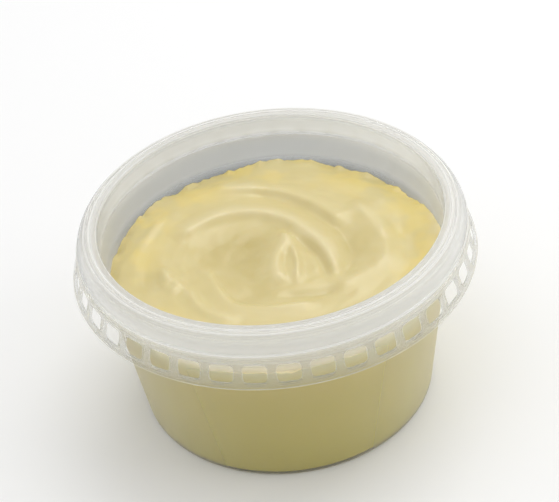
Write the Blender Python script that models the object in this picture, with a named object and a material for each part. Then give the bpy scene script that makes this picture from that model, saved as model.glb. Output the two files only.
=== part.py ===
"""Round plastic food pot with a flared skirt of small windows, filled with swirled cream.

Metres, +Z up. The origin is the middle of the foot, on the surface that the pot stands on.
Radii are measured from the upright axis. Run with: blender --background --python part.py
"""
import math

import bmesh
import bpy
import numpy as np
from mathutils import Matrix, Vector

MM = 0.001

# Driving dimensions
POT_WIDTH = 101.0 * MM          # across the lower edge of the skirt
POT_HEIGHT = 53.8 * MM          # from the foot to the crest of the lip
WALL = 0.8 * MM                 # thickness of wall, floor and skirt
BASE_RADIUS = 38.1 * MM         # body wall at the foot
NECK_RADIUS = 43.1 * MM         # body wall where it goes up behind the skirt
LIP_RADIUS = 42.6 * MM          # inner edge of the lip
SKIRT_FLARE = 2.0 * MM          # how far the skirt spreads from top to bottom
SKIRT_BOTTOM = 41.0 * MM        # height of the skirt's lower edge
SKIRT_TOP = 47.2 * MM           # height of the rib where the skirt starts
BEAD_HEIGHT = 49.3 * MM         # height of the bead at the foot of the shoulder
WINDOW_COUNT = 40
WINDOW_WIDTH = 5.7 * MM
WINDOW_HEIGHT = 4.1 * MM
WINDOW_BOTTOM = 42.6 * MM       # height of the lower edge of the windows
WINDOW_CORNER = 1.1 * MM
CREAM_LEVEL = 38.9 * MM         # mean height of the cream
CREAM_GAP = 0.3 * MM            # clearance between the cream and the pot

# Worked out from the driving dimensions
SKIRT_RADIUS = POT_WIDTH / 2
RIB_RADIUS = SKIRT_RADIUS - SKIRT_FLARE
BEAD_RADIUS = RIB_RADIUS - 0.2 * MM
SHOULDER_RADIUS = LIP_RADIUS + 3.35 * MM
CHANNEL_TOP = POT_HEIGHT - 1.2 * MM
FLOOR_UNDERSIDE = 0.5 * MM
FLOOR_TOP = FLOOR_UNDERSIDE + WALL
FOOT_INNER_RADIUS = BASE_RADIUS - 5.0 * MM
STEP_HEIGHT = SKIRT_TOP + 0.6 * MM
STEP_WIDTH = 0.3 * MM
FLOOR_CORNER = 1.2 * MM
NECK_HEIGHT = 41.0 * MM

# Mesh steps
POT_SEGMENTS = 2 * WINDOW_COUNT
CREAM_SEGMENTS = 84
CREAM_RINGS = 22
PATH_STEPS = 7                  # points between two named points of a spoon mark

# Spoon marks seen from above, in millimetres: the points of the middle line, the height (below
# zero for a groove), and the half widths to the left and right of the line's direction.
SPOON_MARKS = (
    # the folded tail that the spoon left in the middle: its body, the fold on it and the crest
    (((4.6, 11.5), (3.4, 6.5), (1.8, 1.0), (1.0, -4.0), (1.6, -12.0)), 1.8, 3.0, 3.6),
    (((3.8, 4.5), (2.6, -0.5), (2.3, -4.5), (3.0, -11.0)), -0.9, 1.1, 1.4),
    (((4.4, 5.0), (5.3, -1.0), (5.3, -6.0), (4.4, -12.5)), 0.8, 1.0, 1.0),
    # the trough on its right
    (((2.8, 12.5), (5.4, 7.8), (8.4, 2.8), (11.0, -2.5), (12.4, -10.5)), -0.9, 1.5, 1.3),
    # the ridge that winds over the basin and down beside the trough
    (((-25.0, 11.5), (-18.0, 17.0), (-10.0, 19.8), (-3.0, 18.9), (3.0, 15.4), (7.5, 10.3),
      (11.0, 4.2), (13.2, -1.5), (14.5, -8.0)), 1.4, 3.6, 2.0),
    # the groove outside it and the long ridge outside that
    (((-8.0, 28.5), (0.0, 26.5), (6.0, 23.2), (11.0, 18.2), (15.0, 12.4), (18.0, 5.6),
      (19.0, -1.0), (17.5, -7.0), (14.0, -11.0)), -0.9, 2.4, 2.8),
    (((-16.0, 31.5), (-6.0, 30.2), (1.0, 28.2), (7.0, 24.6), (12.0, 19.6), (16.0, 14.2),
      (18.5, 9.0)), 1.0, 2.8, 1.6),
    # the right arc, down to the front
    (((20.5, 20.0), (23.5, 14.0), (26.0, 7.5), (28.0, 0.0), (27.2, -5.5), (22.5, -10.0),
      (17.5, -13.5), (15.5, -18.5)), 0.7, 3.2, 2.8),
    # the left ridge near the wall, and the small curl in front of it
    (((-41.0, 1.0), (-38.0, 4.5), (-34.0, 10.0), (-30.5, 16.0), (-26.5, 22.0)), 0.6, 1.6, 2.0),
    (((-28.5, 2.5), (-27.5, -2.0), (-26.0, -6.0), (-22.0, -10.0)), 1.0, 1.6, 1.9),
    # the front arcs
    (((-17.5, 0.5), (-16.2, -5.0), (-14.4, -11.0), (-11.3, -16.5), (-5.5, -19.4), (2.0, -20.2),
      (10.0, -20.2)), 0.9, 1.3, 2.6),
    (((-22.5, -7.0), (-21.0, -13.0), (-17.5, -19.0), (-9.5, -23.8)), 0.7, 1.8, 1.8),
    (((-1.0, -14.4), (3.0, -15.6), (7.5, -16.2), (12.0, -15.8), (16.0, -14.6)), -0.8, 1.9, 1.9),
    # low waves in the part that the front wall hides
    (((-30.0, -16.0), (-22.0, -27.0), (-8.0, -32.0), (8.0, -32.0), (20.0, -26.0)), 0.9, 2.6, 2.6),
    (((-20.0, -31.0), (-6.0, -36.5), (10.0, -36.0), (24.0, -29.0)), -0.8, 2.2, 2.2),
)
# Round hollows and swellings, in millimetres: x, y, half length along x and along y, height
BASINS = (
    (-9.5, 5.5, 14.5, 11.0, -2.1),
    (-6.0, -14.0, 6.0, 4.5, -1.2),
    (-33.0, -3.0, 4.0, 6.0, -0.9),
    (21.5, 2.0, 3.6, 9.0, -0.7),
    (33.5, -1.0, 3.5, 6.0, -0.7),
    (30.0, 17.0, 5.0, 5.0, 0.5),
)
MARK_SHARPNESS = 1.6            # power of the fall-off: low is sharp-crested
MARK_FADE = 5.0                 # length over which a mark fades at its ends, in millimetres
# Height of the cream where it meets the wall, against its level, every 15 degrees from +X
EDGE_HEIGHTS = (0.9, 0.2, -1.1, -1.0, -1.1, 0.5, 0.3, -1.1, -1.0, 0.1, 0.5, 0.4,
                0.2, 0.0, 0.2, 0.3, 0.1, 0.0, 0.0, 0.1, 0.2, 0.1, 0.2, 0.6)


def clear_scene():
    for obj in list(bpy.data.objects):
        bpy.data.objects.remove(obj, do_unlink=True)


def plastic(name, color, roughness, transmission):
    material = bpy.data.materials.new(name)
    material.use_nodes = True
    shader = material.node_tree.nodes["Principled BSDF"]
    shader.inputs["Base Color"].default_value = (*color, 1.0)
    shader.inputs["Roughness"].default_value = roughness
    shader.inputs["Metallic"].default_value = 0.0
    shader.inputs["Transmission Weight"].default_value = transmission
    material.diffuse_color = (*color, 1.0)
    return material


def add_object(name, bm, material):
    mesh = bpy.data.meshes.new(name)
    bmesh.ops.recalc_face_normals(bm, faces=bm.faces)
    bm.to_mesh(mesh)
    bm.free()
    mesh.shade_smooth()
    mesh.set_sharp_from_angle(angle=math.radians(35))
    mesh.materials.append(material)
    obj = bpy.data.objects.new(name, mesh)
    bpy.context.scene.collection.objects.link(obj)
    return obj


def rounded(corners):
    """Turn (radius, height, corner radius, steps) into points, with arcs at the rounded corners."""
    points = []
    for i, (r, z, size, steps) in enumerate(corners):
        here = Vector((r, z))
        if size == 0.0:
            points.append(here)
            continue
        back = (Vector(corners[i - 1][:2]) - here).normalized()
        ahead = (Vector(corners[i + 1][:2]) - here).normalized()
        half = back.angle(ahead) / 2
        reach = size / math.tan(half)
        middle = here + (back + ahead).normalized() * (size / math.sin(half))
        start = here + back * reach - middle
        end = here + ahead * reach - middle
        turn = start.angle_signed(end)
        for k in range(steps + 1):
            points.append(middle + Matrix.Rotation(-turn * k / steps, 2) @ start)
    return points


def body_radius(z):
    """Outer radius of the tapered body wall at a height below the neck."""
    return BASE_RADIUS + (NECK_RADIUS - BASE_RADIUS) * z / NECK_HEIGHT


def pot_profile():
    """The pot's cross-section, from under the floor round the outside and lip to the floor's top."""
    neck_inner = NECK_RADIUS - WALL
    step_outer = NECK_RADIUS + STEP_WIDTH
    step_low = STEP_HEIGHT - 0.5 * MM
    return rounded([
        (0.0, FLOOR_UNDERSIDE, 0.0, 0),
        (FOOT_INNER_RADIUS - 1.0 * MM, FLOOR_UNDERSIDE, 0.0, 0),
        (FOOT_INNER_RADIUS, 0.0, 0.0, 0),
        (BASE_RADIUS, 0.0, 1.3 * MM, 2),
        (NECK_RADIUS, NECK_HEIGHT, 0.0, 0),
        (NECK_RADIUS, step_low, 0.0, 0),
        (step_outer, STEP_HEIGHT, 0.0, 0),
        (step_outer, CHANNEL_TOP, 0.4 * MM, 1),
        (SHOULDER_RADIUS - 0.9 * MM, CHANNEL_TOP, 0.4 * MM, 1),
        (SHOULDER_RADIUS + 0.75 * MM, BEAD_HEIGHT + 1.7 * MM, 0.0, 0),
        (BEAD_RADIUS - WALL, BEAD_HEIGHT - 0.3 * MM, 0.0, 0),
        (RIB_RADIUS - WALL, SKIRT_TOP - 0.2 * MM, 0.0, 0),
        (SKIRT_RADIUS - WALL - 0.05 * MM, SKIRT_BOTTOM + 0.2 * MM, 0.0, 0),
        (SKIRT_RADIUS - 0.6 * MM, SKIRT_BOTTOM, 0.0, 0),
        (SKIRT_RADIUS - 0.2 * MM, SKIRT_BOTTOM, 0.0, 0),
        (SKIRT_RADIUS, SKIRT_BOTTOM + 0.25 * MM, 0.0, 0),
        (RIB_RADIUS, SKIRT_TOP, 0.2 * MM, 1),
        (RIB_RADIUS - 0.55 * MM, SKIRT_TOP + 0.5 * MM, 0.0, 0),
        (BEAD_RADIUS - 0.4 * MM, BEAD_HEIGHT - 0.7 * MM, 0.0, 0),
        (BEAD_RADIUS, BEAD_HEIGHT - 0.35 * MM, 0.0, 0),
        (BEAD_RADIUS, BEAD_HEIGHT, 0.0, 0),
        (BEAD_RADIUS - 0.35 * MM, BEAD_HEIGHT + 0.3 * MM, 0.0, 0),
        (SHOULDER_RADIUS + 1.85 * MM, BEAD_HEIGHT + 1.7 * MM, 0.0, 0),
        (SHOULDER_RADIUS + 1.0 * MM, BEAD_HEIGHT + 3.2 * MM, 0.0, 0),
        (SHOULDER_RADIUS, POT_HEIGHT - 0.35 * MM, 0.3 * MM, 1),
        (LIP_RADIUS + 2.4 * MM, POT_HEIGHT - 0.3 * MM, 0.0, 0),
        (LIP_RADIUS + 1.95 * MM, POT_HEIGHT, 0.0, 0),
        (LIP_RADIUS + 1.4 * MM, POT_HEIGHT - 0.25 * MM, 0.0, 0),
        (LIP_RADIUS, POT_HEIGHT - 0.15 * MM, 0.35 * MM, 2),
        (LIP_RADIUS, STEP_HEIGHT + 0.2 * MM, 0.0, 0),
        (neck_inner, step_low + 0.2 * MM, 0.0, 0),
        (neck_inner, NECK_HEIGHT, 0.0, 0),
        (body_radius(FLOOR_TOP) - WALL, FLOOR_TOP, FLOOR_CORNER, 3),
        (0.0, FLOOR_TOP, 0.0, 0),
    ])


def turned(profile, segments):
    """Spin a profile that starts and ends on the axis once round it."""
    bm = bmesh.new()
    verts = [bm.verts.new((p.x, 0.0, p.y)) for p in profile]
    edges = [bm.edges.new(pair) for pair in zip(verts, verts[1:])]
    bmesh.ops.spin(bm, geom=verts + edges, cent=(0, 0, 0), axis=(0, 0, 1),
                   angle=2 * math.pi, steps=segments, use_merge=True)
    bmesh.ops.remove_doubles(bm, verts=bm.verts, dist=0.001 * MM)
    return bm


def window_cutters():
    """One rounded block for each window, all in one mesh."""
    bm = bmesh.new()
    half_w, half_h = WINDOW_WIDTH / 2, WINDOW_HEIGHT / 2
    middle_z = WINDOW_BOTTOM + half_h
    outline = []
    for corner in range(4):
        side = 1 if corner in (0, 3) else -1
        top = 1 if corner in (0, 1) else -1
        for step in range(3):
            angle = math.radians(90 * corner + 45 * step)
            outline.append((side * (half_w - WINDOW_CORNER) + WINDOW_CORNER * math.cos(angle),
                            top * (half_h - WINDOW_CORNER) + WINDOW_CORNER * math.sin(angle)))
    inner, outer = RIB_RADIUS - 2.4 * MM, SKIRT_RADIUS + 1.5 * MM
    for i in range(WINDOW_COUNT):
        angle = -math.pi / 2 + 2 * math.pi * i / WINDOW_COUNT
        out = Vector((math.cos(angle), math.sin(angle), 0))
        along = Vector((-math.sin(angle), math.cos(angle), 0))
        ring = [out * inner + along * u + Vector((0, 0, middle_z + v)) for u, v in outline]
        face = bm.faces.new([bm.verts.new(p) for p in ring])
        pushed = bmesh.ops.extrude_face_region(bm, geom=[face])
        moved = [v for v in pushed["geom"] if isinstance(v, bmesh.types.BMVert)]
        bmesh.ops.translate(bm, vec=out * (outer - inner), verts=moved)
    return bm


def smooth_path(points, steps):
    """A Catmull-Rom curve through the points."""
    p = np.array([points[0], *points, points[-1]], float)
    t = np.linspace(0, 1, steps, endpoint=False)[:, None]
    pieces = []
    for a, b, c, d in zip(p, p[1:], p[2:], p[3:]):
        pieces.append(0.5 * (2 * b + (c - a) * t + (2 * a - 5 * b + 4 * c - d) * t ** 2
                             + (3 * b - a - 3 * c + d) * t ** 3))
    return np.vstack([*pieces, p[-1:]])


def smooth_step(value):
    v = np.clip(value, 0, 1)
    return v * v * (3 - 2 * v)


def spoon_mark(xy, points, height, left, right):
    """Height of one mark at each point: a rounded ridge or groove that fades at its ends."""
    path = smooth_path(points, PATH_STEPS)
    start, step = path[:-1], np.diff(path, axis=0)
    to_point = xy[:, None] - start
    t = np.clip((to_point * step).sum(2) / (step ** 2).sum(1), 0, 1)
    off = to_point - t[..., None] * step
    away = np.hypot(off[..., 0], off[..., 1])
    near = away.argmin(1)
    rows = np.arange(len(xy))
    off, away = off[rows, near], away[rows, near]
    turn = step[near, 0] * off[:, 1] - step[near, 1] * off[:, 0]
    width = np.where(turn > 0, left, right)
    reached = np.concatenate([[0.0], np.cumsum(np.hypot(step[:, 0], step[:, 1]))])
    along = reached[near] + t[rows, near] * (reached[near + 1] - reached[near])
    fade_length = min(MARK_FADE, reached[-1] / 2)
    fade = smooth_step(along / fade_length) * smooth_step((reached[-1] - along) / fade_length)
    return height * fade * np.exp(-(away / width) ** MARK_SHARPNESS)


def edge_height(angle):
    """Height of the cream near the wall, against its level, in millimetres, at an array of angles."""
    heights = np.array(EDGE_HEIGHTS)
    place = np.mod(angle, 2 * np.pi) / (2 * np.pi) * len(heights)
    low = place.astype(int) % len(heights)
    share = smooth_step(place - np.floor(place))
    return heights[low] + (heights[(low + 1) % len(heights)] - heights[low]) * share


def cream_surface(x, y):
    """Height of the cream's top, in metres, at arrays of x and y."""
    xy = np.stack([x, y], 1) / MM
    lift = np.zeros(len(xy))
    for points, height, left, right in SPOON_MARKS:
        lift += spoon_mark(xy, points, height, left, right)
    for cx, cy, half_x, half_y, height in BASINS:
        lift += height * np.exp(-((xy[:, 0] - cx) / half_x) ** 2 - ((xy[:, 1] - cy) / half_y) ** 2)
    edge = smooth_step((np.hypot(x, y) / NECK_RADIUS - 0.80) / 0.18)
    lift = lift * (1 - 0.75 * edge) + edge_height(np.arctan2(y, x)) * edge
    return CREAM_LEVEL + lift * MM


def cream_side_radius(z):
    """Radius of the cream's side at a height: the inside of the wall less the gap."""
    return body_radius(z) - WALL - CREAM_GAP


def cream_body():
    """The filling: a swirled top over a side and bottom that follow the inside of the pot."""
    bm = bmesh.new()
    rim = cream_side_radius(CREAM_LEVEL)
    angles = 2 * np.pi * np.arange(CREAM_SEGMENTS) / CREAM_SEGMENTS
    share = np.arange(1, CREAM_RINGS + 1) / CREAM_RINGS
    radii = rim * share
    x = np.concatenate([[0.0], np.outer(radii, np.cos(angles)).ravel()])
    y = np.concatenate([[0.0], np.outer(radii, np.sin(angles)).ravel()])
    z = cream_surface(x, y)
    outer = slice(1 + (CREAM_RINGS - 1) * CREAM_SEGMENTS, None)
    x[outer] = cream_side_radius(z[outer]) * np.cos(angles)
    y[outer] = cream_side_radius(z[outer]) * np.sin(angles)
    top = [bm.verts.new(p) for p in zip(x, y, z)]
    rings = [top[1 + k * CREAM_SEGMENTS:1 + (k + 1) * CREAM_SEGMENTS] for k in range(CREAM_RINGS)]
    bottom_z = FLOOR_TOP + CREAM_GAP
    corner = FLOOR_CORNER
    low = cream_side_radius(bottom_z + corner)
    side = [(low, bottom_z + corner), (low - 0.3 * corner, bottom_z + 0.3 * corner), (low - corner, bottom_z)]
    for radius, height in side:
        ring = [bm.verts.new((radius * math.cos(a), radius * math.sin(a), height)) for a in angles]
        rings.append(ring)
    around = list(range(CREAM_SEGMENTS))
    following = around[1:] + around[:1]
    for a, b in zip(around, following):
        bm.faces.new((top[0], rings[0][a], rings[0][b]))
    for upper, lower in zip(rings, rings[1:]):
        for a, b in zip(around, following):
            bm.faces.new((upper[a], lower[a], lower[b], upper[b]))
    bm.faces.new(rings[-1])
    bmesh.ops.triangulate(bm, faces=bm.faces)
    return bm


def build():
    clear_scene()
    pot_material = plastic("pot_plastic", (0.80, 0.80, 0.77), 0.35, 0.6)
    cream_material = plastic("cream", (0.83, 0.72, 0.42), 0.38, 0.0)
    pot = add_object("pot", turned(pot_profile(), POT_SEGMENTS), pot_material)
    cutter = add_object("window_cutter", window_cutters(), pot_material)
    cutter.hide_render = True
    cutter.display_type = "WIRE"
    cut = pot.modifiers.new("windows", "BOOLEAN")
    cut.operation = "DIFFERENCE"
    cut.solver = "EXACT"
    cut.object = cutter
    add_object("cream", cream_body(), cream_material)


build()
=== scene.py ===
import math

import bpy
import numpy as np
from mathutils import Matrix, Vector, noise


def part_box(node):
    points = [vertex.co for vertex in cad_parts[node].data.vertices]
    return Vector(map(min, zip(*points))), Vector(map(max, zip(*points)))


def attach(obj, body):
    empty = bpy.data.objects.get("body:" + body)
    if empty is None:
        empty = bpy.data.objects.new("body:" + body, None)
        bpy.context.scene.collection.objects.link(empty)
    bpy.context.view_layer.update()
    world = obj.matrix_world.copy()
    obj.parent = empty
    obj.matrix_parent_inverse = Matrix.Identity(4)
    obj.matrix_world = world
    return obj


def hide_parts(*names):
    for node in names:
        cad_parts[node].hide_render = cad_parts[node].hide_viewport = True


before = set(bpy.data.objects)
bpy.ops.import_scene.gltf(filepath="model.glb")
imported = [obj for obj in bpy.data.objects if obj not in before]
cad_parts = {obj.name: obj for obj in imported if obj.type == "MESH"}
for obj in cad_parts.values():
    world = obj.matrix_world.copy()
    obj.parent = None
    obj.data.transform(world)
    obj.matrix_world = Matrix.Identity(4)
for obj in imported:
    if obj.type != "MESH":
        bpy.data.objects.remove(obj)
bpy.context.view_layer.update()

MM = 0.001

# Sizes read from the frame
pot_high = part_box("pot")[1]
POT_HEIGHT = pot_high.z
SKIRT_RADIUS = pot_high.x

# The rest of the pot's sizes, as in the part
WALL = 0.8 * MM
BASE_RADIUS = 38.1 * MM
NECK_RADIUS = 43.1 * MM
LIP_RADIUS = 42.6 * MM
SKIRT_FLARE = 2.0 * MM
SKIRT_BOTTOM = 41.0 * MM
SKIRT_TOP = 47.2 * MM
BEAD_HEIGHT = 49.3 * MM
RIB_RADIUS = SKIRT_RADIUS - SKIRT_FLARE
BEAD_RADIUS = RIB_RADIUS - 0.2 * MM
SHOULDER_RADIUS = LIP_RADIUS + 3.35 * MM
CHANNEL_TOP = POT_HEIGHT - 1.2 * MM
FLOOR_UNDERSIDE = 0.5 * MM
FLOOR_TOP = FLOOR_UNDERSIDE + WALL
FOOT_INNER_RADIUS = BASE_RADIUS - 5.0 * MM
STEP_HEIGHT = SKIRT_TOP + 0.6 * MM
STEP_WIDTH = 0.3 * MM
NECK_HEIGHT = 41.0 * MM
FLOOR_CORNER = 1.2 * MM

# Windows in the skirt
WINDOW_COUNT = 40
WINDOW_WIDTH = 5.7 * MM
WINDOW_HEIGHT = 4.1 * MM
WINDOW_BOTTOM = 42.6 * MM
WINDOW_CORNER = 1.1 * MM
WINDOW_EDGE = 0.16 * MM         # rounding of the window's rim
WINDOW_EDGE_POINTS = 4          # mesh points across that rounding, front or back
CELL_MARGIN = 0.35 * MM         # plain strip above and below a window within its cell
# Two mesh rings on the flat face, this far outside that rounding. The first reaches past the
# cell's border: by 0.16 mm above and below the window on the outer face, and by 0.4 mm below it
# on the inner one. Narrow strips of faces fold back there.
FLAT_RINGS = (0.35 * MM, 0.06 * MM)
CELL_ACROSS = 8                 # mesh steps along a window's top and bottom
CELL_UP = 6                     # mesh steps up a window's sides
POT_SEGMENTS = WINDOW_COUNT * CELL_ACROSS

# Cream
CREAM_LEVEL = 38.9 * MM
CREAM_REACH = 0.25 * MM         # how far the cream reaches into the plastic wall
CREAM_SEGMENTS = 320
CREAM_RINGS = 130
SIDE_TOP = 37.0 * MM            # upper row of the cream's side, below the lowest edge
SIDE_ROWS = 12
CREAM_CORNER_POINTS = 6         # mesh points round the cream's lower corner
PATH_STEPS = 12                 # points between two named points of a spoon mark

# Spoon marks seen from above, in millimetres: the points of the middle line, the height (below
# zero for a groove), and the half widths to the left and right of the line's direction.
SPOON_MARKS = (
    # the folded tail that the spoon left in the middle: its body, the fold on it and the crest
    (((4.6, 12.0), (3.2, 6.5), (1.0, 1.0), (0.0, -4.0), (0.8, -12.5)), 1.7, 3.6, 4.0),
    (((3.8, 4.5), (2.5, -0.5), (2.1, -4.5), (2.8, -11.5)), -0.55, 1.2, 1.3),
    (((4.4, 5.0), (5.3, -1.0), (5.3, -6.0), (4.4, -12.5)), 0.8, 1.0, 1.0),
    # the trough on its right
    (((2.8, 12.5), (5.4, 7.8), (8.4, 2.8), (11.0, -2.5), (12.8, -12.5)), -0.7, 1.3, 1.2),
    # the ridge that winds over the basin and down beside the trough
    (((-25.0, 11.5), (-18.0, 17.0), (-10.0, 19.8), (-3.0, 18.9), (3.0, 15.4), (7.5, 10.3),
      (11.0, 4.2), (13.2, -1.5), (15.2, -10.5)), 1.3, 3.6, 2.0),
    # the groove outside it and the long ridge outside that
    (((-5.0, 28.2), (1.0, 26.3), (6.0, 23.2), (11.0, 18.2), (15.0, 12.4), (18.0, 5.6),
      (19.0, -1.0), (17.5, -7.0), (14.0, -11.0)), -0.9, 2.4, 2.8),
    (((-16.0, 31.5), (-6.0, 30.2), (1.0, 28.2), (7.0, 24.6), (12.0, 19.6), (16.0, 14.2),
      (18.5, 9.0)), 1.0, 2.8, 1.6),
    # the right arc, down to the front
    (((20.5, 20.0), (23.5, 14.0), (26.0, 7.5), (28.0, 0.0), (27.2, -5.5), (22.5, -10.0),
      (17.5, -13.5), (15.5, -18.5)), 0.7, 3.2, 2.8),
    # the left ridge near the wall, and the small curl in front of it
    (((-41.5, -1.0), (-39.5, 3.0), (-36.8, 7.0), (-33.8, 12.5), (-30.5, 18.0), (-27.0, 23.5)),
     0.35, 1.5, 1.8),
    (((-28.5, 2.5), (-27.5, -2.0), (-26.0, -6.0), (-22.0, -10.0)), 1.0, 1.6, 1.9),
    # the front arcs
    (((-17.5, 0.5), (-16.2, -5.0), (-14.4, -11.0), (-11.3, -16.5), (-5.5, -19.4), (2.0, -20.2),
      (10.0, -20.2)), 0.9, 1.3, 2.6),
    (((-22.5, -7.0), (-21.0, -13.0), (-17.5, -19.0), (-9.5, -23.8)), 0.7, 1.8, 1.8),
    (((-1.0, -14.4), (3.0, -15.6), (7.5, -16.2), (12.0, -15.8), (16.0, -14.6)), -0.8, 1.9, 1.9),
    # low waves in the part that the front wall hides
    (((-30.0, -16.0), (-22.0, -27.0), (-8.0, -32.0), (8.0, -32.0), (20.0, -26.0)), 0.9, 2.6, 2.6),
    (((-20.0, -31.0), (-6.0, -36.5), (10.0, -36.0), (24.0, -29.0)), -0.8, 2.2, 2.2),
)
# Round hollows and swellings, in millimetres: x, y, half length along x and along y, height
BASINS = (
    (-9.0, 7.0, 14.0, 9.0, -1.7),
    (-8.0, -5.0, 10.0, 9.0, -1.0),
    (-6.0, -14.0, 6.0, 4.0, -0.8),
    (-33.0, -3.0, 4.0, 6.0, -0.9),
    (21.5, 2.0, 3.6, 9.0, -0.7),
    (33.5, -1.0, 3.5, 6.0, -0.7),
    (30.0, 17.0, 5.0, 5.0, 0.5),
)
MARK_SHARPNESS = 1.8            # power of the fall-off: low is sharp-crested
MARK_FADE = 5.0                 # length over which a mark fades at its ends, in millimetres
# Height of the cream where it meets the wall, against its level, every 15 degrees from +X
EDGE_HEIGHTS = (0.9, 0.2, -1.1, -1.0, -1.1, 0.5, 0.3, -1.1, -1.0, -0.3, -0.5, -0.9,
                -1.1, -0.6, 0.0, 0.2, 0.1, 0.0, 0.0, 0.1, 0.2, 0.1, 0.2, 0.6)
# Where the edge takes over from the marks and where it is ragged, as shares of the wall's radius
EDGE_START, EDGE_LENGTH = 0.80, 0.18
RAGGED_START, RAGGED_LENGTH = 0.91, 0.07
MARKS_LEFT_AT_EDGE = 0.25
EDGE_RAGGEDNESS = ((4.5, 0.8), (1.8, 0.7))  # size along the edge and height, in millimetres
# Uneven streaks, in millimetres: their size along and across the swirl, and height
UNEVENNESS = ((9.0, 3.4, 0.16), (4.0, 1.8, 0.06))
STREAK_RADIUS = 24.0            # the sizes along the swirl are true at this radius
CALM_RADIUS = 14.0              # the streaks fade out inside this radius
# Lumpy places, in millimetres: x, y, how far they reach, the size of the lumps and their height
LUMPS = ((30.0, 2.0, 8.0, 5.0, 0.6), (-26.0, -6.0, 4.0, 2.6, 0.6), (24.0, 16.0, 6.0, 4.5, 0.4))
SWIRL_CENTRE = (2.0, 1.0)
SEED = 7.0

# Camera, from the photograph: the point it looks at, and where it stands from there. Angles are
# in degrees.
CAMERA_AIM = Vector((1.3, 0.0, 40.4)) * MM
CAMERA_DISTANCE = 350.1 * MM
CAMERA_ELEVATION = 37.89
CAMERA_AZIMUTH = 0.27
CAMERA_ROLL = 6.91
CAMERA_LENS = 90.16
SENSOR_WIDTH = 36.0

# Studio: name, place and size in metres, and power in watts of each softbox. All of them point at
# the pot's middle.
SOFTBOXES = (
    ("window", (0.32, 0.42, 0.85), (0.8, 0.6), 3.8),
    ("overhead", (-0.35, 0.0, 0.9), (1.0, 0.8), 1.8),
    ("side", (0.85, -0.15, 0.42), (0.5, 0.5), 1.5),
)
LIGHT_AIM = (0, 0, 0.03)
WORLD_STRENGTH = 0.6
FLOOR_HALF = 3
FLOOR_COLOUR = (0.90, 0.90, 0.90, 1)


def body_radius(z):
    """Outer radius of the tapered body wall at a height below the neck."""
    return BASE_RADIUS + (NECK_RADIUS - BASE_RADIUS) * z / NECK_HEIGHT


def rounded(corners):
    """Turn (radius, height, corner radius, steps) into points, with arcs at the rounded corners."""
    points = []
    for i, (r, z, size, steps) in enumerate(corners):
        here = Vector((r, z))
        if size == 0.0:
            points.append(here)
            continue
        back = (Vector(corners[i - 1][:2]) - here).normalized()
        ahead = (Vector(corners[i + 1][:2]) - here).normalized()
        half = back.angle(ahead) / 2
        reach = size / math.tan(half)
        middle = here + (back + ahead).normalized() * (size / math.sin(half))
        start = here + back * reach - middle
        end = here + ahead * reach - middle
        turn = start.angle_signed(end)
        for k in range(steps + 1):
            points.append(middle + Matrix.Rotation(-turn * k / steps, 2) @ start)
    return points


def supported(points):
    """Add rows near the ends of long straight stretches, so that they shade as straight."""
    near_end, longest = 0.2 * MM, 4.0 * MM
    rows = [points[0]]
    for a, b in zip(points, points[1:]):
        length = (b - a).length
        if length > 3 * near_end:
            along = (b - a) / length
            count = math.ceil((length - 2 * near_end) / longest)
            for k in range(count + 1):
                rows.append(a + along * (near_end + (length - 2 * near_end) * k / count))
        rows.append(b)
    return rows


def skirt_outer(z):
    """Radius of the skirt's outer face at a height."""
    share = (z - SKIRT_BOTTOM) / (SKIRT_TOP - SKIRT_BOTTOM)
    return SKIRT_RADIUS - SKIRT_FLARE * share


def skirt_inner(z):
    return skirt_outer(z) - WALL


CELL_LOW = WINDOW_BOTTOM - CELL_MARGIN
CELL_HIGH = WINDOW_BOTTOM + WINDOW_HEIGHT + CELL_MARGIN


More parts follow.
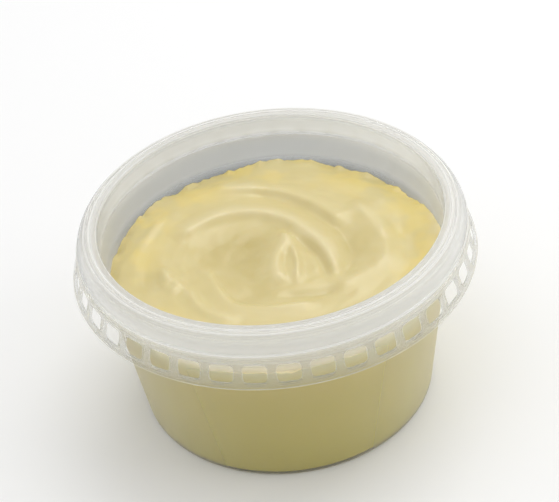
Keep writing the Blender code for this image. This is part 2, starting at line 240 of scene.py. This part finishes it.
def pot_rows():
    """The rows of the pot's cross-section in three lengths, split where the window cells go."""
    neck_inner = NECK_RADIUS - WALL
    step_outer = NECK_RADIUS + STEP_WIDTH
    step_low = STEP_HEIGHT - 0.5 * MM
    under = rounded([
        (0.0, FLOOR_UNDERSIDE, 0.0, 0),
        (FOOT_INNER_RADIUS - 1.0 * MM, FLOOR_UNDERSIDE, 0.3 * MM, 3),
        (FOOT_INNER_RADIUS, 0.0, 0.15 * MM, 2),
        (BASE_RADIUS, 0.0, 1.3 * MM, 7),
        (NECK_RADIUS, NECK_HEIGHT, 2.0 * MM, 2),
        (NECK_RADIUS, step_low, 0.3 * MM, 2),
        (step_outer, STEP_HEIGHT, 0.3 * MM, 2),
        (step_outer, CHANNEL_TOP, 0.4 * MM, 4),
        (SHOULDER_RADIUS - 0.9 * MM, CHANNEL_TOP, 0.4 * MM, 4),
        (SHOULDER_RADIUS + 0.75 * MM, BEAD_HEIGHT + 1.7 * MM, 1.5 * MM, 2),
        (BEAD_RADIUS - WALL, BEAD_HEIGHT - 0.3 * MM, 0.4 * MM, 2),
        (RIB_RADIUS - WALL, SKIRT_TOP - 0.2 * MM, 0.3 * MM, 1),
        (skirt_inner(CELL_HIGH), CELL_HIGH, 0.0, 0),
    ])
    hem = rounded([
        (skirt_inner(CELL_LOW), CELL_LOW, 0.0, 0),
        (SKIRT_RADIUS - WALL, SKIRT_BOTTOM, 0.3 * MM, 4),
        (SKIRT_RADIUS, SKIRT_BOTTOM, 0.25 * MM, 4),
        (skirt_outer(CELL_LOW), CELL_LOW, 0.0, 0),
    ])
    above = rounded([
        (skirt_outer(CELL_HIGH), CELL_HIGH, 0.0, 0),
        (RIB_RADIUS, SKIRT_TOP, 0.2 * MM, 4),
        (RIB_RADIUS - 0.55 * MM, SKIRT_TOP + 0.5 * MM, 0.3 * MM, 3),
        (BEAD_RADIUS - 0.4 * MM, BEAD_HEIGHT - 0.7 * MM, 0.2 * MM, 3),
        (BEAD_RADIUS, BEAD_HEIGHT - 0.35 * MM, 0.15 * MM, 3),
        (BEAD_RADIUS, BEAD_HEIGHT, 0.15 * MM, 4),
        (BEAD_RADIUS - 0.35 * MM, BEAD_HEIGHT + 0.3 * MM, 0.2 * MM, 3),
        (SHOULDER_RADIUS + 1.85 * MM, BEAD_HEIGHT + 1.7 * MM, 3.0 * MM, 4),
        (SHOULDER_RADIUS + 1.0 * MM, BEAD_HEIGHT + 3.2 * MM, 3.0 * MM, 4),
        (SHOULDER_RADIUS, POT_HEIGHT - 0.35 * MM, 0.3 * MM, 4),
        (LIP_RADIUS + 2.4 * MM, POT_HEIGHT - 0.3 * MM, 0.2 * MM, 3),
        (LIP_RADIUS + 1.95 * MM, POT_HEIGHT, 0.25 * MM, 4),
        (LIP_RADIUS + 1.4 * MM, POT_HEIGHT - 0.25 * MM, 0.2 * MM, 3),
        (LIP_RADIUS, POT_HEIGHT - 0.15 * MM, 0.35 * MM, 6),
        (LIP_RADIUS, STEP_HEIGHT + 0.2 * MM, 0.3 * MM, 2),
        (neck_inner, step_low + 0.2 * MM, 0.3 * MM, 2),
        (neck_inner, NECK_HEIGHT, 2.0 * MM, 2),
        (body_radius(FLOOR_TOP) - WALL, FLOOR_TOP, FLOOR_CORNER, 6),
        (0.0, FLOOR_TOP, 0.0, 0),
    ])
    return supported(under), supported(hem), supported(above)


def ring_points(row):
    """The points of one ring round the pot, which meets the sides of the windows' cells."""
    angles = 2 * np.pi * (np.arange(POT_SEGMENTS) / CELL_ACROSS - 0.5) / WINDOW_COUNT - np.pi / 2
    return np.stack([row.x * np.cos(angles), row.x * np.sin(angles), np.full(len(angles), row.y)], 1)


class MeshParts:
    """Collects a mesh's points and faces."""

    def __init__(self):
        self.points = []
        self.faces = []

    def add(self, points):
        first = len(self.points)
        self.points.extend(map(tuple, points))
        return list(range(first, first + len(points)))

    def band(self, a, b):
        """Quads between two closed rings of equal length."""
        for k in range(len(a)):
            n = (k + 1) % len(a)
            self.faces.append((a[k], a[n], b[n], b[k]))

    def fan(self, centre, ring, flip):
        for k in range(len(ring)):
            n = (k + 1) % len(ring)
            self.faces.append((centre, ring[n], ring[k]) if flip else (centre, ring[k], ring[n]))


def cell_outline():
    """Points on the border of a window's cell, anticlockwise from the lower left.

    Each is (across, up), from -1 to 1.
    """
    border = [(-1 + 2 * k / CELL_ACROSS, -1.0) for k in range(CELL_ACROSS)]
    border += [(1.0, -1 + 2 * k / CELL_UP) for k in range(CELL_UP)]
    border += [(1 - 2 * k / CELL_ACROSS, 1.0) for k in range(CELL_ACROSS)]
    border += [(-1.0, 1 - 2 * k / CELL_UP) for k in range(CELL_UP)]
    return border


def rounded_rectangle(half_w, half_h, corner, border):
    """Where each border point lands on a rounded rectangle: straight sides and corner arcs."""
    points = []
    for x, y in border:
        on_side = abs(x) == 1.0 and abs(y) < 1.0
        px, py = x * half_w, y * half_h
        over_x = max(0.0, abs(px) - (half_w - corner))
        over_y = max(0.0, abs(py) - (half_h - corner))
        if over_x > 0 and over_y > 0:
            share = over_x / corner if not on_side else 1.0
            lift = over_y / corner if on_side else 1.0
            angle = math.atan2(lift, share)
            px = math.copysign(half_w - corner + corner * math.cos(angle), px)
            py = math.copysign(half_h - corner + corner * math.sin(angle), py)
        points.append((px, py))
    return points


def window_cells(mesh, outer_low, outer_high, inner_low, inner_high):
    """Fill the two bands of the skirt with cells, each with a round-cornered window through it."""
    border = cell_outline()
    middle = (CELL_LOW + CELL_HIGH) / 2
    columns = {}
    for face, radius_at in (("outer", skirt_outer), ("inner", skirt_inner)):
        for i in range(WINDOW_COUNT):
            angle = 2 * math.pi * (i - 0.5) / WINDOW_COUNT - math.pi / 2
            points = []
            for k in range(1, CELL_UP):
                z = CELL_LOW + (CELL_HIGH - CELL_LOW) * k / CELL_UP
                points.append((radius_at(z) * math.cos(angle), radius_at(z) * math.sin(angle), z))
            columns[face, i] = mesh.add(points)
    tilt = math.atan2(SKIRT_FLARE, SKIRT_TOP - SKIRT_BOTTOM)

    def place(i, u, v, depth):
        z = middle + v
        radius = skirt_outer(z)
        angle = 2 * math.pi * i / WINDOW_COUNT - math.pi / 2 + u / radius
        radius -= depth * math.cos(tilt)
        z -= depth * math.sin(tilt)
        return (radius * math.cos(angle), radius * math.sin(angle), z)

    depth_through = WALL * math.cos(tilt)
    rim = [(WINDOW_EDGE * (1 - math.sin(a)), WINDOW_EDGE * (1 - math.cos(a)))
           for a in np.linspace(0, math.pi / 2, WINDOW_EDGE_POINTS)]
    loops = [(WINDOW_EDGE + grow, 0.0) for grow in FLAT_RINGS]
    loops += rim
    loops += [(grow, depth_through - depth) for grow, depth in reversed(rim)]
    loops += [(WINDOW_EDGE + grow, depth_through) for grow in reversed(FLAT_RINGS)]
    for i in range(WINDOW_COUNT):
        nxt = (i + 1) % WINDOW_COUNT
        rings = []
        faces = ((outer_low, outer_high, "outer"), (inner_low, inner_high, "inner"))
        for low, high, face in faces:
            across = [(i * CELL_ACROSS + k) % POT_SEGMENTS for k in range(CELL_ACROSS + 1)]
            ring = [low[k] for k in across]
            ring += columns[face, nxt]
            ring += [high[k] for k in reversed(across)]
            ring += list(reversed(columns[face, i]))
            rings.append(ring)
        outer_ring, inner_ring = rings
        path = [outer_ring]
        for grow, depth in loops:
            outline = rounded_rectangle(WINDOW_WIDTH / 2 + grow, WINDOW_HEIGHT / 2 + grow,
                                        WINDOW_CORNER + grow, border)
            path.append(mesh.add([place(i, u, v, depth) for u, v in outline]))
        path.append(inner_ring)
        for a, b in zip(path, path[1:]):
            mesh.band(a, b)


def build_pot():
    under, hem, above = pot_rows()
    mesh = MeshParts()
    start = mesh.add([(0.0, 0.0, under[0].y)])[0]
    rings_under = [mesh.add(ring_points(row)) for row in under[1:]]
    rings_hem = [mesh.add(ring_points(row)) for row in hem]
    rings_above = [mesh.add(ring_points(row)) for row in above[:-1]]
    end = mesh.add([(0.0, 0.0, above[-1].y)])[0]
    mesh.fan(start, rings_under[0], True)
    for rings in (rings_under, rings_hem, rings_above):
        for a, b in zip(rings, rings[1:]):
            mesh.band(a, b)
    mesh.fan(end, rings_above[-1], False)
    window_cells(mesh, rings_hem[-1], rings_above[0], rings_hem[0], rings_under[-1])
    return add_mesh("pot_shell", mesh.points, mesh.faces)


def add_mesh(name, points, faces, sharp=35):
    """A smooth-shaded object, with a crease wherever faces meet at more than `sharp` degrees."""
    mesh = bpy.data.meshes.new(name)
    mesh.from_pydata([tuple(p) for p in points], [], faces)
    mesh.validate()
    mesh.shade_smooth()
    mesh.set_sharp_from_angle(angle=math.radians(sharp))
    obj = bpy.data.objects.new(name, mesh)
    bpy.context.scene.collection.objects.link(obj)
    return obj


def smooth_path(points, steps):
    """A Catmull-Rom curve through the points."""
    p = np.array([points[0], *points, points[-1]], float)
    t = np.linspace(0, 1, steps, endpoint=False)[:, None]
    pieces = []
    for a, b, c, d in zip(p, p[1:], p[2:], p[3:]):
        pieces.append(0.5 * (2 * b + (c - a) * t + (2 * a - 5 * b + 4 * c - d) * t ** 2
                             + (3 * b - a - 3 * c + d) * t ** 3))
    return np.vstack([*pieces, p[-1:]])


def smooth_step(value):
    v = np.clip(value, 0, 1)
    return v * v * (3 - 2 * v)


def spoon_mark(xy, points, height, left, right):
    """Height of one mark at each point: a rounded ridge or groove that fades at its ends."""
    path = smooth_path(points, PATH_STEPS)
    start, step = path[:-1], np.diff(path, axis=0)
    to_point = xy[:, None] - start
    t = np.clip((to_point * step).sum(2) / (step ** 2).sum(1), 0, 1)
    off = to_point - t[..., None] * step
    away = np.hypot(off[..., 0], off[..., 1])
    near = away.argmin(1)
    rows = np.arange(len(xy))
    off, away = off[rows, near], away[rows, near]
    turn = step[near, 0] * off[:, 1] - step[near, 1] * off[:, 0]
    width = np.where(turn > 0, left, right)
    reached = np.concatenate([[0.0], np.cumsum(np.hypot(step[:, 0], step[:, 1]))])
    along = reached[near] + t[rows, near] * (reached[near + 1] - reached[near])
    fade_length = min(MARK_FADE, reached[-1] / 2)
    fade = smooth_step(along / fade_length) * smooth_step((reached[-1] - along) / fade_length)
    return height * fade * np.exp(-(away / width) ** MARK_SHARPNESS)


def unevenness(xy):
    """Streaks that follow the spoon round and a few lumps, in millimetres, at each point."""
    x, y = xy[:, 0] - SWIRL_CENTRE[0], xy[:, 1] - SWIRL_CENTRE[1]
    radius, angle = np.hypot(x, y), np.arctan2(y, x)
    total = np.zeros(len(xy))
    for layer, (along, across, height) in enumerate(UNEVENNESS):
        turns = STREAK_RADIUS / along
        points = np.stack([radius / across, turns * np.cos(angle), turns * np.sin(angle)], 1)
        shift = Vector((SEED, 3.0 * layer, SEED * layer))
        total += height * np.array([noise.noise(Vector(p) + shift) for p in points])
    total *= smooth_step(radius / CALM_RADIUS)
    for cx, cy, reach, size, height in LUMPS:
        near = np.exp(-((xy[:, 0] - cx) ** 2 + (xy[:, 1] - cy) ** 2) / reach ** 2)
        lumps = [noise.noise((px / size, py / size, SEED)) for px, py in xy]
        total += height * near * np.array(lumps)
    return total


def edge_height(angle):
    """Height of the cream near the wall, against its level, in millimetres, at some angles."""
    heights = np.array(EDGE_HEIGHTS)
    place = np.mod(angle, 2 * np.pi) / (2 * np.pi) * len(heights)
    low = place.astype(int) % len(heights)
    share = smooth_step(place - np.floor(place))
    return heights[low] + (heights[(low + 1) % len(heights)] - heights[low]) * share


def raggedness(angle):
    """Unevenness of the line where the cream meets the wall."""
    total = np.zeros(len(angle))
    for size, height in EDGE_RAGGEDNESS:
        points = NECK_RADIUS / MM / size * np.stack([np.cos(angle), np.sin(angle)], 1)
        total += height * np.array([noise.noise((px, py, SEED)) for px, py in points])
    return total


def cream_surface(x, y):
    """Height of the cream's top, in metres, at arrays of x and y."""
    xy = np.stack([x, y], 1) / MM
    lift = np.zeros(len(xy))
    for points, height, left, right in SPOON_MARKS:
        lift += spoon_mark(xy, points, height, left, right)
    for cx, cy, half_x, half_y, height in BASINS:
        lift += height * np.exp(-((xy[:, 0] - cx) / half_x) ** 2 - ((xy[:, 1] - cy) / half_y) ** 2)
    out, angle = np.hypot(x, y) / NECK_RADIUS, np.arctan2(y, x)
    edge = smooth_step((out - EDGE_START) / EDGE_LENGTH)
    ragged = smooth_step((out - RAGGED_START) / RAGGED_LENGTH)
    lift = lift * (1 - (1 - MARKS_LEFT_AT_EDGE) * edge) + edge_height(angle) * edge
    lift += raggedness(angle) * ragged
    return CREAM_LEVEL + MM * (lift + unevenness(xy))


def build_cream():
    """The filling: a finely swirled top, and a side that reaches just into the plastic wall."""
    def side(z):
        return body_radius(z) - WALL + CREAM_REACH

    rim = side(CREAM_LEVEL)
    angles = 2 * np.pi * np.arange(CREAM_SEGMENTS) / CREAM_SEGMENTS
    radii = rim * np.arange(1, CREAM_RINGS + 1) / CREAM_RINGS
    x = np.concatenate([[0.0], np.outer(radii, np.cos(angles)).ravel()])
    y = np.concatenate([[0.0], np.outer(radii, np.sin(angles)).ravel()])
    z = cream_surface(x, y)
    outer = slice(1 + (CREAM_RINGS - 1) * CREAM_SEGMENTS, None)
    x[outer] = side(z[outer]) * np.cos(angles)
    y[outer] = side(z[outer]) * np.sin(angles)
    mesh = MeshParts()
    top = mesh.add(np.stack([x, y, z], 1))
    rings = [top[1 + k * CREAM_SEGMENTS:1 + (k + 1) * CREAM_SEGMENTS] for k in range(CREAM_RINGS)]
    low = FLOOR_TOP - CREAM_REACH
    heights = np.linspace(SIDE_TOP, low + FLOOR_CORNER, SIDE_ROWS)
    edge = [(side(h), h) for h in heights]
    for a in np.linspace(0, math.pi / 2, CREAM_CORNER_POINTS)[1:]:
        edge.append((side(low + FLOOR_CORNER) - FLOOR_CORNER * (1 - math.cos(a)),
                     low + FLOOR_CORNER * (1 - math.sin(a))))
    for radius, height in edge:
        ring = [(radius * math.cos(a), radius * math.sin(a), height) for a in angles]
        rings.append(mesh.add(ring))
    bottom = mesh.add([(0.0, 0.0, low)])[0]
    mesh.fan(top[0], rings[0], False)
    for upper, lower in zip(rings, rings[1:]):
        mesh.band(lower, upper)
    mesh.fan(bottom, rings[-1], True)
    return add_mesh("cream_swirl", mesh.points, mesh.faces, sharp=50)


class Shading:
    """A node material under construction."""

    def __init__(self, name):
        self.material = bpy.data.materials.new(name)
        self.material.use_nodes = True
        self.nodes = self.material.node_tree.nodes
        self.links = self.material.node_tree.links
        self.nodes.clear()

    def add(self, kind, inputs=None, **settings):
        """A new node, with its settings and its inputs, each a plain value or another's output."""
        node = self.nodes.new("ShaderNode" + kind)
        for key, value in settings.items():
            setattr(node, key, value)
        for key, value in (inputs or {}).items():
            if isinstance(value, bpy.types.NodeSocket):
                self.links.new(value, node.inputs[key])
            else:
                node.inputs[key].default_value = value
        return node

    def ramp(self, value, low, high, start=0.0, end=1.0):
        """The value mapped from low..high to start..end, smoothly."""
        limits = {"Value": value, "From Min": low, "From Max": high, "To Min": start, "To Max": end}
        return self.add("MapRange", limits, interpolation_type="SMOOTHSTEP").outputs[0]

    def blend(self, share, first, second):
        """Two colours mixed by a share, each a red, green and blue or another's output."""
        first, second = ((*c, 1.0) if isinstance(c, tuple) else c for c in (first, second))
        node = self.add("Mix", {"Factor": share, "A": first, "B": second}, data_type="RGBA")
        return node.outputs["Result"]

    def noise(self, place, scale, detail, roughness):
        values = {"Vector": place, "Scale": scale, "Detail": detail, "Roughness": roughness}
        return self.add("TexNoise", values).outputs["Fac"]

    def maths(self, operation, *values):
        return self.add("Math", dict(enumerate(values)), operation=operation).outputs[0]

    def both(self, *shares):
        """The product of the shares."""
        total = shares[0]
        for share in shares[1:]:
            total = self.maths("MULTIPLY", total, share)
        return total

    def mix(self, share, first, second):
        """Two shaders mixed by a share."""
        return self.add("MixShader", {0: share, 1: first, 2: second}).outputs[0]

    def finish(self, surface):
        self.add("OutputMaterial", {"Surface": surface})
        return self.material


def radius_of(m, place):
    """The place's distance from the upright axis, and the place without its height."""
    flat = m.add("VectorMath", {0: place, 1: (1, 1, 0)}, operation="MULTIPLY").outputs[0]
    return m.add("VectorMath", {0: flat}, operation="LENGTH").outputs["Value"], flat


def plastic_material():
    """Milky clear plastic: it blurs what is behind it, and its ridges and the rim are whiter. It
    also carries painted light: highlight lines on the ridges, and painted shade down the inner wall,
    on the neck under the skirt, on the lip, on the window sills and on the rim's slanted faces.
    """
    m = Shading("milky_plastic")
    place = m.add("TexCoord").outputs["Object"]
    height = m.add("SeparateXYZ", {0: place}).outputs["Z"]
    radius, flat = radius_of(m, place)
    normal = m.add("NewGeometry").outputs["Normal"]
    up = m.add("SeparateXYZ", {0: normal}).outputs["Z"]
    outward = m.add("VectorMath", {0: flat, 1: normal}, operation="DOT_PRODUCT").outputs["Value"]
    facing = m.add("LayerWeight", {"Blend": 0.5}).outputs["Facing"]
    ray = m.add("LightPath").outputs

    # masks of the pot's regions, and how deep down the inner wall a place is
    outside = m.ramp(outward, -5 * MM, 5 * MM)
    above_skirt = m.ramp(height, SKIRT_TOP, BEAD_HEIGHT)
    # slant: the rim's faces seen at a slant, which get painted shade further on
    slant = m.both(m.ramp(facing, 0.5, 0.85), above_skirt)
    wall = m.ramp(radius, SHOULDER_RADIUS - 0.3 * MM, SHOULDER_RADIUS - 1.3 * MM)
    neck = m.both(wall, outside, m.ramp(height, STEP_HEIGHT + 0.6 * MM, STEP_HEIGHT - 1.0 * MM),
                  m.ramp(height, NECK_HEIGHT - 4.5 * MM, NECK_HEIGHT + 1.5 * MM))
    inside = m.both(m.maths("SUBTRACT", 1.0, outside),
                    m.ramp(radius, LIP_RADIUS + 0.5 * MM, LIP_RADIUS),
                    m.ramp(height, NECK_HEIGHT - 5 * MM, NECK_HEIGHT - 3.5 * MM))
    # painted shade grows down the inner wall towards the cream
    deep = m.ramp(height, STEP_HEIGHT + 2 * MM, STEP_HEIGHT - 3.5 * MM, 0.42, 1.05)
    skirt = m.both(m.ramp(radius, SHOULDER_RADIUS, SHOULDER_RADIUS + 0.6 * MM),
                   m.ramp(height, BEAD_HEIGHT - 0.6 * MM, SKIRT_TOP - 0.3 * MM))
    shoulder = m.both(above_skirt, m.ramp(height, POT_HEIGHT - 0.8 * MM, BEAD_HEIGHT + 2 * MM))
    lip = m.ramp(height, POT_HEIGHT - 1.2 * MM, POT_HEIGHT - 0.8 * MM)
    body = m.ramp(height, SKIRT_BOTTOM, SKIRT_BOTTOM - 3 * MM)
    # sill: the windows' upward lower edges, made clearer as painted shade so that they catch less
    # light
    sill = m.both(skirt, m.ramp(up, 0.4, 0.7),
                  m.ramp(height, WINDOW_BOTTOM + 0.8 * MM, WINDOW_BOTTOM + 0.4 * MM))

    # painted highlight lines on the ridges, partly whiter plastic: across which value and where,
    # past which limit, how strong
    ridges = ((radius, LIP_RADIUS + 1.95 * MM, height, POT_HEIGHT - 0.2 * MM, 1.0),
              (radius, SHOULDER_RADIUS - 0.1 * MM, height, POT_HEIGHT - 0.7 * MM, 0.8),
              (radius, LIP_RADIUS + 0.1 * MM, height, POT_HEIGHT - 0.8 * MM, 0.5),
              (height, BEAD_HEIGHT - 0.1 * MM, radius, BEAD_RADIUS - 0.3 * MM, 0.9),
              (height, SKIRT_TOP, radius, RIB_RADIUS - 0.3 * MM, 0.5),
              (height, SKIRT_BOTTOM + 0.1 * MM, radius, SKIRT_RADIUS - 0.5 * MM, 0.6))
    line = 0.0
    for across, middle, past, limit, strength in ridges:
        away = m.maths("ABSOLUTE", m.maths("SUBTRACT", across, middle))
        here = m.both(m.ramp(away, 0.4 * MM, 0.1 * MM), m.ramp(past, limit - 0.1 * MM, limit))
        line = m.maths("MULTIPLY_ADD", here, strength, line)

    # how much of the light the milky plastic scatters; the ridges' painted highlight lines raise it
    share = m.ramp(height, NECK_HEIGHT - 2 * MM, NECK_HEIGHT, 0.05, 0.16)
    whiter = ((shoulder, 0.3), (lip, 0.3), (neck, 0.2), (skirt, -0.07), (facing, 0.3),
              (m.both(m.ramp(facing, 0.35, 0.8), body), 0.25), (line, 0.45))
    for where, amount in whiter:
        share = m.maths("MULTIPLY_ADD", where, amount, share)
    # painted shade: the rim's slanted faces and the window sills scatter less
    for where, lost in ((slant, 0.5), (sill, 0.8)):
        share = m.both(share, m.maths("MULTIPLY_ADD", where, -lost, 1.0))

    # painted shade: the inner wall's see-through colour turns dark blue grey, deeper further down
    glass_tint_and_shade = m.blend(m.both(inside, deep), (0.965, 0.97, 0.97), (0.22, 0.24, 0.262))
    # painted shade: the neck's outer face under the skirt turns grey
    glass_tint_and_shade = m.blend(m.both(neck, 0.6), glass_tint_and_shade, (0.45, 0.45, 0.44))
    # painted shade: the rim's slanted faces turn darker and bluish grey
    glass_tint_and_shade = m.blend(m.both(slant, 0.6), glass_tint_and_shade, (0.50, 0.52, 0.54))
    milk = m.blend(above_skirt, (0.90, 0.88, 0.82), (0.905, 0.905, 0.895))
    # painted shade: the lip's milk is darker grey
    milk = m.blend(lip, milk, (0.80, 0.79, 0.765))
    # painted highlight: the milk turns near white on the ridge lines
    milk = m.blend(line, milk, (0.97, 0.965, 0.95))
    # painted shade: the milk of the rim's slanted faces turns dark bluish grey
    milk = m.blend(m.both(slant, 0.4), milk, (0.42, 0.425, 0.44))

    glass = m.add("BsdfPrincipled", {"Base Color": glass_tint_and_shade, "Roughness": 0.27, "IOR": 1.45,
                                     "Transmission Weight": 1.0}).outputs[0]
    clear = m.add("BsdfTransparent", {"Color": (0.93, 0.94, 0.94, 1)}).outputs[0]
    clear_skirt = m.add("BsdfTransparent", {"Color": (0.90, 0.905, 0.91, 1)}).outputs[0]
    matte = m.add("BsdfDiffuse", {"Color": milk}).outputs[0]
    glow = m.add("BsdfTranslucent", {"Color": milk}).outputs[0]
    # the sills let more through, as painted shade
    thin = m.both(skirt, m.maths("MULTIPLY_ADD", sill, 0.1, 0.8))
    through = m.mix(ray["Is Diffuse Ray"], m.mix(thin, glass, clear_skirt), clear)
    surface = m.mix(share, through, m.mix(0.5, matte, glow))
    return m.finish(m.mix(ray["Is Shadow Ray"], surface, clear))


def cream_material():
    """Moist cream with painted light: paler on its ridges and deeper yellow in the grooves as
    painted shade, blotches of deeper yellow against the wall as painted bounce light, and a side
    that darkens towards the bottom as painted shade.
    """
    m = Shading("swirled_cream")
    place = m.add("TexCoord").outputs["Object"]
    up = m.add("SeparateXYZ", {0: m.add("NewGeometry").outputs["Normal"]}).outputs["Z"]
    height = m.add("SeparateXYZ", {0: place}).outputs["Z"]
    radius = radius_of(m, place)[0]
    blots = m.noise(place, scale=95.0, detail=2.0, roughness=0.5)
    mottle = m.noise(place, scale=180.0, detail=1.0, roughness=0.4)
    pale = (0.75, 0.655, 0.39)
    # painted shade and painted light: darker, deeper yellow in the hollows, paler on the high ridges
    top = m.blend(m.ramp(height, 36.6 * MM, 39.0 * MM), (0.535, 0.435, 0.17), (0.665, 0.56, 0.265))
    top = m.blend(m.ramp(height, 39.0 * MM, 40.6 * MM), top, pale)
    # painted bounce light: blotches of deeper yellow near the wall
    rim = m.both(m.ramp(radius, 26 * MM, 38 * MM), m.ramp(blots, 0.42, 0.62))
    top = m.blend(m.both(rim, 0.75), top, (0.77, 0.61, 0.20))
    top = m.blend(m.ramp(mottle, 0.3, 0.8, 0.0, 0.2), top, pale)
    # painted shade: the cream's side darkens from its pale top down to the bottom
    flank = m.blend(m.ramp(height, 3 * MM, 22 * MM), (0.48, 0.405, 0.055), (0.515, 0.425, 0.075))
    flank = m.blend(m.ramp(height, 22 * MM, 34 * MM), flank, (0.555, 0.45, 0.105))
    flank = m.blend(m.ramp(height, 33 * MM, 38.5 * MM), flank, (0.68, 0.62, 0.32))
    colour = m.blend(m.ramp(up, 0.35, 0.75, 1.0, 0.0), top, flank)
    surface = m.add("BsdfPrincipled", {"Base Color": colour, "Roughness": 0.29,
                                       "Subsurface Weight": 0.25,
                                       "Subsurface Radius": (1.0, 0.7, 0.35),
                                       "Subsurface Scale": 1.5 * MM}).outputs[0]
    return m.finish(surface)


def aim(obj, location, target, roll=0.0):
    obj.location = location
    look = (Vector(target) - Vector(location)).to_track_quat("-Z", "Y")
    obj.rotation_euler = (look.to_matrix() @ Matrix.Rotation(roll, 3, "Z")).to_euler()


def make_camera():
    camera = bpy.data.objects.new("camera", bpy.data.cameras.new("camera"))
    bpy.context.scene.collection.objects.link(camera)
    camera.data.lens = CAMERA_LENS
    camera.data.sensor_width = SENSOR_WIDTH
    camera.data.clip_start, camera.data.clip_end = 0.01, 20.0
    elevation, azimuth = math.radians(CAMERA_ELEVATION), math.radians(CAMERA_AZIMUTH)
    back = Vector((-math.sin(azimuth) * math.cos(elevation),
                   -math.cos(azimuth) * math.cos(elevation), math.sin(elevation)))
    aim(camera, CAMERA_AIM + back * CAMERA_DISTANCE, CAMERA_AIM, -math.radians(CAMERA_ROLL))
    bpy.context.scene.camera = camera


def softbox(name, location, size, power):
    light = bpy.data.lights.new(name, "AREA")
    light.shape = "RECTANGLE"
    light.size, light.size_y = size
    light.energy = power
    obj = bpy.data.objects.new(name, light)
    bpy.context.scene.collection.objects.link(obj)
    aim(obj, location, LIGHT_AIM)


def make_stage():
    corners = ((-1, -1), (1, -1), (1, 1), (-1, 1))
    points = [(FLOOR_HALF * x, FLOOR_HALF * y, 0) for x, y in corners]
    floor = add_mesh("floor", points, [(0, 1, 2, 3)])
    m = Shading("pale_floor")
    pale = m.add("BsdfDiffuse", {"Color": FLOOR_COLOUR}).outputs[0]
    floor.data.materials.append(m.finish(pale))
    world = bpy.data.worlds.new("studio")
    world.use_nodes = True
    background = world.node_tree.nodes["Background"]
    background.inputs["Color"].default_value = (1, 1, 1, 1)
    background.inputs["Strength"].default_value = WORLD_STRENGTH
    bpy.context.scene.world = world
    for box in SOFTBOXES:
        softbox(*box)
    bpy.context.scene.view_settings.view_transform = "Standard"


def main():
    pot = build_pot()
    pot.data.materials.append(plastic_material())
    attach(pot, "root")
    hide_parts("pot")
    cream = build_cream()
    cream.data.materials.append(cream_material())
    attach(cream, "root")
    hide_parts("cream")
    make_stage()
    make_camera()


main()
